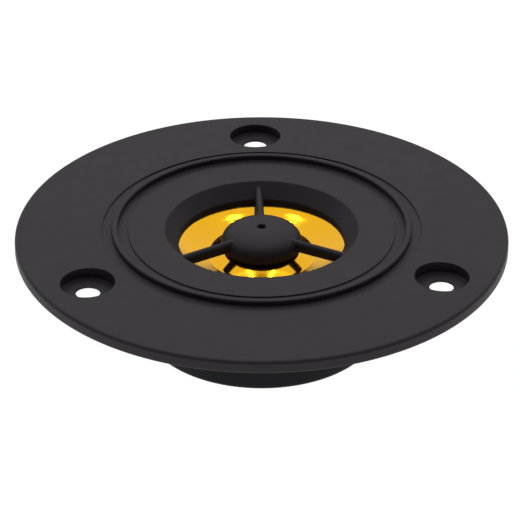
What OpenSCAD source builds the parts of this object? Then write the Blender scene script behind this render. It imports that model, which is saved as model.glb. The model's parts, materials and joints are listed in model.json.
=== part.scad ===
// Flush-mount dome tweeter: round moulded faceplate with a waveguide mouth and a
// phase plug, a film dome with its voice coil, and a ferrite motor in a rear cover.
// Millimetres. The origin is the centre of the rear face and +Z points out of the mouth.

/* [Flange] */
// Outer diameter of the flange
flange_d = 92.6; // [88:1:112]
// Thickness of the flange
flange_t = 2.9; // [2.4:0.1:4]
// Rounding of the flange's front edge
rim_round = 0.7; // [0.4:0.1:1.4]
// Chamfer of the flange's back edge
rim_back_chamfer = 0.3; // [0:0.1:0.8]
// Fall of the flange's face from the groove to the rim
flange_fall = 0.5; // [0:0.05:0.8]

/* [Ring groove and bead] */
// Outer diameter of the shallow ring groove
groove_outer_d = 60; // [58:0.5:64]
// Inner diameter of the shallow ring groove
groove_inner_d = 50.2; // [46:0.2:51]
// Depth of the ring groove
groove_depth = 0.25; // [0.1:0.05:0.6]
// Middle diameter of the raised bead in the groove
bead_d = 55.1; // [54:0.1:56]
// Width of the bead
bead_w = 1.2; // [0.8:0.1:2]
// Height of the bead above the flange's face
bead_rise = 0.85; // [0.2:0.05:1.5]
// Rounding of the bead's top edges
bead_round = 0.35; // [0.1:0.05:0.4]

/* [Mounting screw holes] */
// Number of mounting screws
mount_count = 3; // [3:1:3]
// Pitch circle diameter of the mounting screws
mount_pcd = 74.6; // [74:0.2:76]
// Diameter of the screw holes
mount_hole_d = 4.5; // [3.5:0.1:5]
// Diameter of the counterbores
counterbore_d = 10; // [8:0.1:11]
// Depth of the counterbores
counterbore_depth = 2.3; // [1.5:0.1:2.3]

/* [Mouth] */
// Diameter of the mouth at the face
mouth_d = 36; // [34:0.2:40]
// Diameter of the throat above the film
throat_d = 31.3; // [28:0.1:32]
// Depth of the conical part of the mouth
cone_depth = 2.6; // [2:0.1:3]
// Depth of the film's outer edge below the face
film_depth = 3.95; // [3.6:0.05:5]
// Rounding of the mouth's lip
lip_round = 0.35; // [0.1:0.05:0.5]

/* [Phase plug] */
// Largest diameter of the phase plug
plug_d = 15.3; // [12:0.1:17]
// Height of the plug's tip above the face
plug_rise = 0.3; // [-0.5:0.1:1]
// Depth of the plug's widest ring below the face
plug_waist_depth = 3.6; // [3:0.05:3.7]
// Squareness of the plug's outline, where 2 is an ellipse
plug_power = 2.8; // [2:0.1:3.5]
// Thickness of the plug's top
plug_top_t = 2.2; // [1.5:0.1:2.4]
// Diameter of the vent in the plug
plug_vent_d = 1.6; // [1:0.1:2.5]
// Number of spokes that carry the plug
spoke_count = 3; // [3:1:4]
// Width of a spoke
spoke_w = 1.5; // [1:0.1:2.5]
// Depth of a spoke's ridge below the face
spoke_ridge_depth = 0.7; // [0.3:0.1:1]
// Depth of a spoke's underside below the face
spoke_under_depth = 2.85; // [2.2:0.05:3]

/* [Film diaphragm] */
// Diameter of the dome's glue land, where dome and surround meet
land_d = 20.4; // [19:0.1:21]
// Width of the glue land
land_w = 0.4; // [0.3:0.1:0.6]
// Drop of the surround from its outer edge to the glue land
surround_drop = 1.55; // [1:0.05:1.8]
// Extra sag in the middle of the surround
surround_sag = 0.15; // [0:0.05:0.8]
// Extra dip in the surround's outer half, with as much lift in its inner half
surround_crook = 0.03; // [-0.2:0.01:0.2]
// Rise of the dome above the glue land
dome_rise = 2.4; // [1.5:0.1:2.5]
// Thickness of the film
film_t = 0.2; // [0.1:0.05:0.3]

/* [Voice coil] */
// Thickness of the coil former
former_t = 0.2; // [0.15:0.05:0.3]
// Thickness of the winding
winding_t = 0.4; // [0.2:0.05:0.5]
// Height of the winding
winding_h = 2.6; // [2:0.1:3]
// Clearance on each side of the coil in the magnetic gap
gap_clearance = 0.42; // [0.35:0.01:0.6]
// Diameter of the lead wires
lead_d = 0.24; // [0.2:0.02:0.4]

/* [Diaphragm ring and gasket] */
// Outer diameter of the diaphragm ring
ring_d = 42.6; // [41:0.1:44]
// Inner diameter of the diaphragm ring
ring_bore_d = 31.8; // [31.4:0.1:33]
// Height of the ring below the film
ring_t = 2.55; // [2.4:0.05:3]
// Diameter of the film's glued border
film_border_d = 40; // [37:0.5:41]
// Thickness of the foam gasket
gasket_t = 0.5; // [0.3:0.05:0.8]
// Diameter of the locating pins
pin_d = 2; // [1.5:0.1:2.4]
// Length of the locating pins
pin_l = 3.4; // [3:0.1:3.6]
// Radius at which the locating pins stand
pin_r = 18.4; // [17.8:0.1:18.8]

/* [Motor] */
// Diameter of the top plate
top_plate_d = 43; // [42:0.1:44]
// Thickness of the top plate
top_plate_t = 3; // [2.5:0.1:4]
// Outer diameter of the magnet
magnet_d = 38; // [34:0.5:39]
// Distance between the magnetic gap's outer wall and the magnet's bore
magnet_inset = 1.08; // [0.5:0.02:2]
// Height of the magnet
magnet_h = 7.2; // [6:0.1:10]
// Diameter of the yoke's back plate
yoke_d = 36; // [33:0.5:38]
// Thickness of the yoke's back plate
yoke_t = 2.8; // [2:0.1:4]
// Thickness of the felt pad on the pole
pole_pad_t = 1; // [0.5:0.1:1.2]

/* [Collar and rear cover] */
// Distance between the top plate's edge and the outside of the collar behind the flange
collar_band = 6; // [5:0.1:8]
// Thickness of the collar's two walls
collar_wall = 1.6; // [1.2:0.1:1.8]
// Outer diameter of the rear cover's cup
cover_d = 44.8; // [43.2:0.1:45.2]
// Wall thickness of the rear cover
cover_wall = 1.5; // [1.4:0.1:1.7]
// Thickness of the rear cover's floor
cover_floor = 1.5; // [1.2:0.1:2.5]
// Thickness of the rear cover's screw flange
cover_flange_t = 1.8; // [1.5:0.1:2.5]
// Rounding of the cup's rear edge
cover_round = 0.8; // [0.3:0.1:1.2]
// Thickness of the foam pad behind the yoke
foam_pad_t = 0.6; // [0.4:0.1:1.2]

/* [Assembly screws] */
// Thread diameter of the assembly screws
screw_d = 2.6; // [2.2:0.1:3]
// Length of the screws below the head
screw_l = 7.2; // [6:0.1:7.4]
// Diameter of the screw heads
screw_head_d = 4.6; // [4:0.1:5]
// Height of the screw heads
screw_head_h = 1.5; // [1.2:0.1:2]
// Distance between the assembly screws' centres and the outside of the collar
screw_inset = 2.9; // [2.7:0.05:3.1]
// Diameter of the screw bosses
boss_d = 5.2; // [4.6:0.1:5.4]

/* [Terminals] */
// Width of the positive blade
blade_pos_w = 4.8; // [3.6:0.1:5.2]
// Width of the negative blade
blade_neg_w = 2.8; // [2:0.1:4.8]
// Thickness of the blades
blade_t = 0.5; // [0.4:0.1:0.8]
// Distance of each blade's middle line from the centre line
blade_x = 3.8; // [3.6:0.1:4]
// Length of the blades outside the collar
blade_reach = 9; // [7:0.5:10]
// Width of the terminal block's core
block_w = 13.8; // [13.4:0.1:14.6]

/* [Hidden] */

// Colours of the materials
MATTE_BLACK = [0.12, 0.12, 0.125];
COVER_BLACK = [0.08, 0.08, 0.085];
GOLD_FILM = [0.93, 0.68, 0.18];
COPPER = [0.78, 0.42, 0.22];
STEEL = [0.72, 0.73, 0.74];

// Smoothness of the round parts, and of the small rounded edges
$fn = 96;
arc_steps = 6;
// Overlap of cutting tools with the faces that they open
cut = 0.5;

// Clearances: sliding fit of a moulded part, free fit, wire in solder, and through hole of a screw
fit_gap = 0.15;
free_gap = 0.1;
lead_clearance = 0.04;
screw_clearance = 0.3;

// Heights of the stack, from the rear face up
yoke_z = cover_floor + foam_pad_t;
magnet_z = yoke_z + yoke_t;
top_plate_z = magnet_z + magnet_h;
ring_z = top_plate_z + top_plate_t;
film_z = ring_z + ring_t + film_t;
face_z = film_z + film_depth;
flange_z = face_z - flange_t;
rim_z = face_z - flange_fall;
gasket_z = film_z;
seat_z = film_z + gasket_t;

// Glue land of the film, its height and radii
land_z = film_z - surround_drop;
land_r = land_d / 2;
land_inner_r = land_r - land_w;

// Voice coil and magnetic gap radii: the former hangs under the middle of the land
former_r = land_r - (land_w - former_t) / 2;
winding_r = former_r + winding_t;
pole_r = former_r - former_t - gap_clearance;
gap_r = winding_r + gap_clearance;
magnet_bore_r = gap_r + magnet_inset;
winding_z = top_plate_z + (top_plate_t - winding_h) / 2;

// Collar: its bore takes the top plate, and its foot stays clear of the screw flange
collar_bore_r = top_plate_d / 2 + fit_gap;
collar_r = top_plate_d / 2 + collar_band;
screw_r = collar_r - screw_inset;
collar_z = top_plate_z + 0.2;
boss_z = top_plate_z + 0.1;
pilot_top_z = flange_z - 0.4;

// Terminal blades lie in slots of the diaphragm ring, clear of the steel top plate
blade_z = ring_z + 0.45;
blade_root_r = ring_bore_d / 2 - 1.7;
blade_tip_r = collar_r + blade_reach;
block_top_z = blade_z + blade_t + 0.8;
solder_y = blade_root_r + 0.55;
window_w = block_w + 2 * free_gap;
block_lip_w = block_w + 3;
block_lip_t = 1.2;

// Points of an arc round c with radius r, from angle a to angle b
function arc(c, r, a, b, n = arc_steps) =
    [for (i = [0:n]) c + r * [cos(a + (b - a) * i / n), sin(a + (b - a) * i / n)]];

// Height of the surround's upper side at radius r
function surround_top(r) =
    let (s = (throat_d / 2 - r) / (throat_d / 2 - land_r))
    film_z - surround_drop * s - surround_sag * sin(180 * s) - surround_crook * sin(360 * s);

// Radius of the dome's sphere, from its base radius and its rise
dome_sphere_r = (land_inner_r * land_inner_r + dome_rise * dome_rise) / (2 * dome_rise);
dome_centre_z = land_z + dome_rise - dome_sphere_r;

// Outline of the phase plug from its waist to its tip
plug_r = plug_d / 2;
plug_waist_z = face_z - plug_waist_depth;
plug_h = plug_waist_depth + plug_rise;
plug_foot = 0.25;
plug_steps = 20;
function plug_point(t) =
    [plug_r * pow(cos(t), 2 / plug_power), plug_waist_z + plug_h * pow(sin(t), 2 / plug_power)];

// Turns a shape about Z once for each of n places, the first of them on +Y
module around(n) {
    for (i = [0:n - 1]) rotate([0, 0, 90 + 360 * i / n]) children();
}

// Outline of the faceplate's body of revolution
module faceplate_profile() {
    throat_r = throat_d / 2;
    mouth_r = mouth_d / 2;
    rim_r = flange_d / 2;
    floor_z = face_z - groove_depth;
    bead_in = bead_d / 2 - bead_w / 2;
    bead_out = bead_d / 2 + bead_w / 2;
    bead_z = face_z + bead_rise - bead_round;
    polygon(concat(
        [[throat_r, seat_z], [throat_r, face_z - cone_depth]],
        arc([mouth_r + lip_round, face_z - lip_round], lip_round, 132, 90, 3),
        [[groove_inner_d / 2, face_z], [groove_inner_d / 2, floor_z], [bead_in, floor_z]],
        arc([bead_in + bead_round, bead_z], bead_round, 180, 90, 4),
        arc([bead_out - bead_round, bead_z], bead_round, 90, 0, 4),
        [[bead_out, floor_z], [groove_outer_d / 2, floor_z], [groove_outer_d / 2, face_z]],
        arc([rim_r - rim_round, rim_z - rim_round], rim_round, 90, 0),
        [
            [rim_r, flange_z + rim_back_chamfer], [rim_r - rim_back_chamfer, flange_z],
            [collar_r, flange_z], [collar_r, collar_z], [collar_r - collar_wall, collar_z],
            [collar_r - collar_wall, flange_z], [collar_bore_r + collar_wall, flange_z],
            [collar_bore_r + collar_wall, collar_z], [collar_bore_r, collar_z],
            [collar_bore_r, seat_z]
        ]
    ));
}

// Phase plug without its hollow, from a small chamfer below the waist to the tip
module plug_body() {
    foot_z = plug_waist_z - plug_foot;
    rotate_extrude() polygon(concat(
        [[0, foot_z], [plug_r - plug_foot, foot_z]],
        [for (i = [0:plug_steps]) plug_point(90 * i / plug_steps)]
    ));
}

// Hollow under the plug, which leaves room for the dome
module plug_hollow() {
    foot_z = plug_waist_z - plug_foot;
    hollow_r = plug_r - 2 * plug_foot;
    hollow_h = plug_h + plug_foot - plug_top_t;
    rotate_extrude() polygon(concat(
        [[0, foot_z - cut], [hollow_r, foot_z - cut]],
        [for (i = [0:8]) [hollow_r * cos(90 * i / 8), foot_z + hollow_h * sin(90 * i / 8)]]
    ));
}

// One spoke from the plug to the cone, with a rounded ridge
module spoke() {
    ridge_z = face_z - spoke_ridge_depth;
    under_z = face_z - spoke_under_depth;
    ridge_r = spoke_w / 2;
    reach = mouth_d / 2 - 0.4;
    intersection() {
        translate([plug_r - 2, 0, 0]) union() {
            translate([0, -ridge_r, under_z]) cube([reach, spoke_w, ridge_z - ridge_r - under_z]);
            translate([0, 0, ridge_z - ridge_r]) rotate([0, 90, 0]) cylinder(h = reach, r = ridge_r, $fn = 32);
        }
        cylinder(h = 2 * face_z, r = reach);
    }
}

// Faceplate: flange, mouth, phase plug on its spokes, and the collar behind
module faceplate() {
    rib_w = 1;
    rib_l = collar_r - collar_bore_r - collar_wall;
    color(MATTE_BLACK) difference() {
        union() {
            rotate_extrude() faceplate_profile();
            plug_body();
            around(spoke_count) spoke();
            difference() {
                around(3) translate([screw_r, 0, boss_z]) cylinder(h = flange_z - boss_z + cut, d = boss_d);
                translate([0, 0, boss_z - cut]) cylinder(h = seat_z - boss_z + cut, r = collar_bore_r);
            }
            for (a = [0, 30, 60, 120, 150, 180, 240, 300])
                rotate([0, 0, a]) translate([collar_bore_r + collar_wall / 2, -rib_w / 2, collar_z + 1.5])
                    cube([rib_l, rib_w, flange_z - collar_z - 1.5 + cut]);
        }
        plug_hollow();
        translate([0, 0, plug_waist_z]) cylinder(h = plug_h + cut, d = plug_vent_d, $fn = 32);
        around(mount_count) translate([mount_pcd / 2, 0, flange_z - cut]) {
            cylinder(h = flange_t + 2 * cut, d = mount_hole_d);
            translate([0, 0, cut + flange_t - counterbore_depth])
                cylinder(h = counterbore_depth + cut, d = counterbore_d);
        }
        around(3) translate([screw_r, 0, boss_z - cut]) cylinder(h = pilot_top_z - boss_z + cut, d = screw_d);
        translate([-window_w / 2, -collar_r - cut, collar_z - cut])
            cube([window_w, collar_r + cut - collar_bore_r + 4, block_top_z + free_gap - collar_z + cut]);
    }
}

// Foam gasket between the throat and the film's border
module throat_gasket() {
    color([0.1, 0.1, 0.1]) translate([0, 0, gasket_z]) difference() {
        cylinder(h = gasket_t, d = ring_d);
        translate([0, 0, -cut]) cylinder(h = gasket_t + 2 * cut, d = throat_d);
    }
}

// Surround: the film from its glued border down to the glue land
module surround() {
    steps = 14;
    throat_r = throat_d / 2;
    radii = [for (i = [0:steps]) throat_r + (land_r - throat_r) * i / steps];
    upper = [for (r = radii) [r, surround_top(r)]];
    lower = [for (i = [steps:-1:0]) [radii[i], surround_top(radii[i]) - film_t]];
    color(GOLD_FILM) rotate_extrude($fn = 144) polygon(concat(
        [[film_border_d / 2, film_z]], upper, lower, [[film_border_d / 2, film_z - film_t]]
    ));
}

// Dome: a spherical cap of film with the flat glue land round it
module dome() {
    steps = 14;
    base_angle = asin(land_inner_r / dome_sphere_r);
    outer = [
        for (i = [0:steps]) let (a = base_angle * (1 - i / steps))
            [dome_sphere_r * sin(a), dome_centre_z + dome_sphere_r * cos(a)]
    ];
    inner = [
        for (i = [0:steps]) let (a = base_angle * i / steps, r = dome_sphere_r - film_t)
            [r * sin(a), dome_centre_z + r * cos(a)]
    ];
    color(GOLD_FILM) rotate_extrude($fn = 144) polygon(concat(
        [[land_r, land_z]], outer, inner, [[land_inner_r, land_z - film_t], [land_r, land_z - film_t]]
    ));
}

// Coil former: a thin tube glued under the land
module coil_former() {
    top = land_z - film_t;
    color([0.85, 0.8, 0.7]) translate([0, 0, winding_z]) difference() {
        cylinder(h = top - winding_z, r = former_r);
        translate([0, 0, -cut]) cylinder(h = top - winding_z + 2 * cut, r = former_r - former_t);
    }
}

// Coil winding on the former, centred in the magnetic gap
module coil_winding() {
    color(COPPER) translate([0, 0, winding_z]) difference() {
        cylinder(h = winding_h, r = winding_r);
        translate([0, 0, -cut]) cylinder(h = winding_h + 2 * cut, r = former_r);
    }
}

// Route of a lead from the coil to the blade on the given side: a cubic curve and a straight end
lead_steps = 10;
function lead_route(side) =
    let (
        a = [side * 1.4, -(winding_r - 0.1), winding_z + winding_h],
        b = [side * 1.5, -(winding_r + 0.2), winding_z + winding_h + 1.1],
        c = [side * 2.6, -(winding_r + 2.2), winding_z + winding_h + 0.1],
        d = [side * blade_x, -blade_root_r, blade_z + blade_t + lead_d / 2]
    )
    concat(
        [for (i = [0:lead_steps]) let (t = i / lead_steps, u = 1 - t)
            u * u * u * a + 3 * u * u * t * b + 3 * u * t * t * c + t * t * t * d],
        [[side * blade_x, -solder_y, d[2]]]
    );

// A round wire along a route that runs mostly along Y
module wire(route, d) {
    sides = 8;
    last = len(route) - 1;
    points = [
        for (i = [0:last])
            let (
                ahead = route[min(i + 1, last)] - route[max(i - 1, 0)],
                along = ahead / norm(ahead),
                level = [-along[1], along[0], 0] / norm([along[0], along[1]]),
                raised = cross(level, along)
            )
            for (k = [0:sides - 1])
                route[i] + d / 2 * (cos(360 * k / sides) * level + sin(360 * k / sides) * raised)
    ];
    sides_faces = [
        for (i = [0:last - 1], k = [0:sides - 1])
            [i * sides + k, (i + 1) * sides + k, (i + 1) * sides + (k + 1) % sides, i * sides + (k + 1) % sides]
    ];
    first_cap = [for (k = [0:sides - 1]) k];
    last_cap = [for (k = [sides - 1:-1:0]) last * sides + k];
    polyhedron(points, concat(sides_faces, [first_cap, last_cap]), convexity = 6);
}

module lead_wire_positive() {
    color(COPPER) wire(lead_route(1), lead_d);
}

module lead_wire_negative() {
    color(COPPER) wire(lead_route(-1), lead_d);
}

// Solder on the inner end of each blade
module solder_joints() {
    color([0.8, 0.8, 0.82]) for (side = [-1, 1])
        translate([side * blade_x, -solder_y, blade_z + blade_t]) difference() {
            cylinder(h = 0.45, r1 = 0.5, r2 = 0.25, $fn = 32);
            translate([0, 0, lead_d / 2]) rotate([-90, 0, 0])
                cylinder(h = 1, d = lead_d + lead_clearance, $fn = 32);
        }
}

// One terminal blade of the given width
module blade(w) {
    tip = 1.2;
    color(STEEL) translate([0, 0, blade_z]) difference() {
        linear_extrude(blade_t) polygon([
            [-w / 2, -blade_root_r], [-w / 2, -blade_tip_r + tip], [-w / 2 + tip / 2, -blade_tip_r],
            [w / 2 - tip / 2, -blade_tip_r], [w / 2, -blade_tip_r + tip], [w / 2, -blade_root_r]
        ]);
        translate([0, -blade_tip_r + 3, -cut]) cylinder(h = blade_t + 2 * cut, d = 1.3, $fn = 32);
    }
}

module terminal_positive() {
    translate([blade_x, 0, 0]) blade(blade_pos_w);
}

module terminal_negative() {
    translate([-blade_x, 0, 0]) blade(blade_neg_w);
}

// Slot that takes a blade of the given width, from radius r1 to radius r2
module blade_slot(x, w, r1, r2, gap) {
    translate([x - w / 2 - gap, -r2, blade_z - gap]) cube([w + 2 * gap, r2 - r1, blade_t + 2 * gap]);
}

// Terminal block: slides into the collar's window and holds the blades
module terminal_block() {
    inner_r = collar_bore_r + 0.05;
    h = block_top_z - collar_z;
    color(COVER_BLACK) difference() {
        union() {
            translate([-block_w / 2, -collar_r - block_lip_t, collar_z])
                cube([block_w, collar_r + block_lip_t - inner_r + 1.2, h]);
            for (r = [collar_r, collar_bore_r + collar_wall])
                intersection() {
                    translate([0, 0, collar_z]) difference() {
                        cylinder(h = h, r = r + block_lip_t);
                        translate([0, 0, -cut]) cylinder(h = h + 2 * cut, r = r);
                    }
                    translate([-block_lip_w / 2, -collar_r - 2 * block_lip_t, collar_z])
                        cube([block_lip_w, collar_r, h]);
                }
        }
        translate([0, 0, collar_z - cut]) cylinder(h = h + 2 * cut, r = inner_r);
        blade_slot(blade_x, blade_pos_w, inner_r - 2, collar_r + 3, 0);
        blade_slot(-blade_x, blade_neg_w, inner_r - 2, collar_r + 3, 0);
    }
}

// Diaphragm ring: carries the film in a shallow rebate and sits on the locating pins
module diaphragm_ring() {
    rebate_r = film_border_d / 2 + free_gap;
    pin_hole_depth = pin_l / 2 + 0.2;
    color(COVER_BLACK) difference() {
        translate([0, 0, ring_z]) cylinder(h = ring_t + film_t, d = ring_d);
        translate([0, 0, ring_z - cut]) cylinder(h = ring_t + 2 * cut, d = ring_bore_d);
        translate([0, 0, ring_z + ring_t]) cylinder(h = cut, r = rebate_r);
        for (a = [0, 180]) rotate([0, 0, a])
            translate([pin_r, 0, ring_z - cut]) cylinder(h = pin_hole_depth + cut, d = pin_d + 0.1, $fn = 32);
        blade_slot(blade_x, blade_pos_w, blade_root_r, ring_d / 2 + cut, 0);
        blade_slot(-blade_x, blade_neg_w, blade_root_r, ring_d / 2 + cut, 0);
    }
}

// Locating pins, pressed into the top plate
module locating_pins() {
    color(STEEL) for (a = [0, 180]) rotate([0, 0, a])
        translate([pin_r, 0, ring_z - pin_l / 2]) cylinder(h = pin_l, d = pin_d, $fn = 32);
}

// Steel top plate round the magnetic gap
module top_plate() {
    color(STEEL) translate([0, 0, top_plate_z]) difference() {
        cylinder(h = top_plate_t, d = top_plate_d);
        translate([0, 0, -cut]) cylinder(h = top_plate_t + 2 * cut, r = gap_r);
        for (a = [0, 180]) rotate([0, 0, a])
            translate([pin_r, 0, top_plate_t - pin_l / 2]) cylinder(h = pin_l, d = pin_d, $fn = 32);
    }
}

// Ferrite ring magnet
module magnet() {
    edge = 0.4;
    bore = magnet_bore_r;
    outer = magnet_d / 2;
    color([0.22, 0.22, 0.24]) translate([0, 0, magnet_z]) rotate_extrude() polygon([
        [bore, 0], [outer - edge, 0], [outer, edge],
        [outer, magnet_h - edge], [outer - edge, magnet_h], [bore, magnet_h]
    ]);
}

// Steel yoke: back plate and pole in one piece
module yoke() {
    edge = 0.5;
    plate_r = yoke_d / 2;
    pole_h = ring_z - yoke_z;
    color(STEEL) translate([0, 0, yoke_z]) rotate_extrude() polygon([
        [0, 0], [plate_r - edge, 0], [plate_r, edge], [plate_r, yoke_t], [pole_r + edge, yoke_t],
        [pole_r, yoke_t + edge], [pole_r, pole_h - edge / 2], [pole_r - edge / 2, pole_h], [0, pole_h]
    ]);
}

// Felt pad on the pole, under the dome
module pole_damping_pad() {
    color([0.35, 0.33, 0.3]) translate([0, 0, ring_z]) cylinder(h = pole_pad_t, r = pole_r - 1);
}

// Foam pad between the yoke and the rear cover's floor
module cover_foam_pad() {
    color([0.16, 0.16, 0.17]) translate([0, 0, cover_floor]) cylinder(h = foam_pad_t, d = yoke_d - 4);
}

// Rear cover: a cup over the motor, with the flange that the screws clamp
module rear_cover() {
    cup_r = cover_d / 2;
    inner_r = cup_r - cover_wall;
    flange_r = collar_r;
    lower_z = top_plate_z - cover_flange_t;
    root = 0.8;
    edge = 0.5;
    recess_r = cup_r - 5;
    recess = 0.3;
    color(COVER_BLACK) difference() {
        rotate_extrude() polygon(concat(
            [[0, recess], [recess_r, recess], [recess_r + recess, 0]],
            arc([cup_r - cover_round, cover_round], cover_round, -90, 0),
            arc([cup_r + root, lower_z - root], root, 180, 90, 4),
            [
                [flange_r - edge, lower_z], [flange_r, lower_z + edge], [flange_r, top_plate_z],
                [inner_r, top_plate_z], [inner_r, cover_floor], [0, cover_floor]
            ]
        ));
        around(3) translate([screw_r, 0, lower_z - cut])
            cylinder(h = cover_flange_t + 2 * cut, d = screw_d + screw_clearance, $fn = 32);
        around(3) translate([screw_r, 0, lower_z - screw_head_h - cut])
            cylinder(h = screw_head_h + cut, d = screw_head_d + screw_clearance, $fn = 32);
    }
}

// Assembly screws with cross recesses, driven from behind
module assembly_screws() {
    seat = top_plate_z - cover_flange_t;
    slot_l = screw_head_d * 0.55;
    slot_w = 0.6;
    slot_h = 0.9;
    color([0.5, 0.5, 0.52]) around(3) translate([screw_r, 0, seat]) difference() {
        union() {
            cylinder(h = screw_l, d = screw_d, $fn = 32);
            translate([0, 0, -screw_head_h]) cylinder(h = screw_head_h, d1 = screw_head_d - 1, d2 = screw_head_d, $fn = 32);
        }
        for (a = [0, 90]) rotate([0, 0, a])
            translate([-slot_l / 2, -slot_w / 2, -screw_head_h - cut]) cube([slot_l, slot_w, slot_h + cut]);
    }
}

faceplate();
throat_gasket();
surround();
dome();
coil_former();
coil_winding();
lead_wire_positive();
lead_wire_negative();
solder_joints();
diaphragm_ring();
locating_pins();
terminal_positive();
terminal_negative();
terminal_block();
top_plate();
magnet();
yoke();
pole_damping_pad();
cover_foam_pad();
rear_cover();
assembly_screws();
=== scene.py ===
"""Visual model of a flush-mount dome tweeter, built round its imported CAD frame.

Each sub-assembly is a class that holds its own sizes in millimetres and builds its
meshes in the row frame: the origin is the centre of the rear face and +Z leaves the mouth.
"""

from __future__ import annotations

import json
import logging
import math
from collections.abc import Sequence
from dataclasses import dataclass, field
from enum import Enum

import bpy
from mathutils import Matrix, Vector

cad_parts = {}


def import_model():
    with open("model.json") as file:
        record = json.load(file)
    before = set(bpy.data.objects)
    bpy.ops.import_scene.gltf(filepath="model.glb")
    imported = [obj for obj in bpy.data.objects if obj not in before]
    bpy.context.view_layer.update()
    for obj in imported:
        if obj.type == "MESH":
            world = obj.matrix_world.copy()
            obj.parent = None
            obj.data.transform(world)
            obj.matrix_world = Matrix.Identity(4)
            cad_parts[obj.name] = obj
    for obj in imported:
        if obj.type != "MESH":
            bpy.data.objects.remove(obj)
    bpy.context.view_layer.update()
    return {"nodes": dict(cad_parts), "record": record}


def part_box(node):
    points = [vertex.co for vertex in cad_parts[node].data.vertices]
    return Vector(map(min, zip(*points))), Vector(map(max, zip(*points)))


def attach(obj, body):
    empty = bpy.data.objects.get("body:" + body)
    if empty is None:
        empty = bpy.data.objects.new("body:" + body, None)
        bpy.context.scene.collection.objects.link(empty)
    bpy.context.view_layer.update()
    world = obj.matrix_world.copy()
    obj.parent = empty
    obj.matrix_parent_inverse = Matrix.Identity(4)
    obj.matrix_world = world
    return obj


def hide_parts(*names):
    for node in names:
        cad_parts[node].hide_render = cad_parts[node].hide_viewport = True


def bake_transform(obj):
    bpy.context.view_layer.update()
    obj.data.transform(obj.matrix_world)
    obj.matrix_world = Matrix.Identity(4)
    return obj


LOG = logging.getLogger("tweeter")
MM = 0.001
MERGE_DISTANCE = 0.0005 * MM

Point2 = tuple[float, float]
Colour = tuple[float, float, float]


# ----------------------------------------------------------------------------------------
# Modelling tools
# ----------------------------------------------------------------------------------------


class Smoothness(Enum):
    """How many steps a turned piece takes round its axis."""

    COARSE = 48
    MEDIUM = 96
    FINE = 240
    MIRROR = 384


def arc(centre: Point2, radius: float, start: float, end: float, steps: int = 6) -> list[Point2]:
    """Gives points along an arc.

    Args:
        centre: Centre of the arc, as radius and height.
        radius: Radius of the arc.
        start: First angle in degrees.
        end: Last angle in degrees.
        steps: Number of straight pieces.

    Returns:
        The points from start to end.
    """
    angles = (math.radians(start + (end - start) * i / steps) for i in range(steps + 1))
    return [(centre[0] + radius * math.cos(a), centre[1] + radius * math.sin(a)) for a in angles]


def deselect_all() -> None:
    """Leaves nothing selected, so that an operator acts only on what is chosen next."""
    if bpy.context.mode != "OBJECT":
        bpy.ops.object.mode_set(mode="OBJECT")
    bpy.ops.object.select_all(action="DESELECT")


def choose(*objects: bpy.types.Object) -> None:
    """Selects only these objects and makes the first one active."""
    deselect_all()
    for item in objects:
        item.select_set(True)
    bpy.context.view_layer.objects.active = objects[0]


def settle(piece: bpy.types.Object) -> None:
    """Moves a piece's place, turn and scale into its mesh."""
    choose(piece)
    bpy.ops.object.transform_apply(location=True, rotation=True, scale=True)


def apply_modifier(piece: bpy.types.Object, kind: str, **settings: object) -> None:
    """Adds one modifier, sets it and applies it.

    Args:
        piece: The object that takes the modifier.
        kind: Blender's name of the modifier's type.
        **settings: Values of the modifier's own properties.
    """
    choose(piece)
    modifier = piece.modifiers.new(kind.title(), kind)
    for key, value in settings.items():
        setattr(modifier, key, value)
    bpy.ops.object.modifier_apply(modifier=modifier.name)


def lathe(name: str, outline: Sequence[Point2], smooth: Smoothness = Smoothness.FINE,
          closed: bool = True, sweep: float = 360.0) -> bpy.types.Object:
    """Turns an outline about the Z axis.

    The outline is drawn as an edge chain that starts from one corner of a plane
    primitive, point by point, and is then spun.

    Args:
        name: Name of the new object.
        outline: Radius and height of each point, in millimetres, going round the section.
        smooth: Steps in a full turn.
        closed: Whether the outline's last point joins its first.
        sweep: Angle of the spin in degrees.

    Returns:
        The turned object, with its place in its mesh.
    """
    deselect_all()
    points = [Vector((r * MM, 0.0, z * MM)) for r, z in outline]
    bpy.ops.mesh.primitive_plane_add(size=MM, location=(0.0, 0.0, 0.0))
    piece = bpy.context.object
    piece.name = name
    bpy.ops.object.mode_set(mode="EDIT")
    bpy.ops.mesh.select_mode(type="VERT")
    bpy.ops.mesh.select_all(action="SELECT")
    bpy.ops.mesh.merge(type="CENTER")
    bpy.ops.transform.translate(value=points[0])
    last = points[0]
    for point in points[1:] + (points[:1] if closed else []):
        bpy.ops.mesh.extrude_vertices_move(TRANSFORM_OT_translate={"value": point - last})
        last = point
    bpy.ops.mesh.select_all(action="SELECT")
    bpy.ops.mesh.remove_doubles(threshold=MERGE_DISTANCE)
    steps = max(3, round(smooth.value * sweep / 360.0))
    bpy.ops.mesh.spin(steps=steps, angle=math.radians(sweep), center=(0.0, 0.0, 0.0),
                      axis=(0.0, 0.0, 1.0))
    bpy.ops.mesh.select_all(action="SELECT")
    bpy.ops.mesh.remove_doubles(threshold=MERGE_DISTANCE)
    bpy.ops.mesh.select_all(action="SELECT")
    bpy.ops.mesh.normals_make_consistent(inside=False)
    bpy.ops.object.mode_set(mode="OBJECT")
    return piece


def block(name: str, near: Sequence[float], far: Sequence[float]) -> bpy.types.Object:
    """Makes a box between two corners given in millimetres."""
    deselect_all()
    centre = [(a + b) / 2 * MM for a, b in zip(near, far)]
    bpy.ops.mesh.primitive_cube_add(size=1.0, location=centre)
    piece = bpy.context.object
    piece.name = name
    piece.scale = [(b - a) * MM for a, b in zip(near, far)]
    settle(piece)
    return piece


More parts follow.
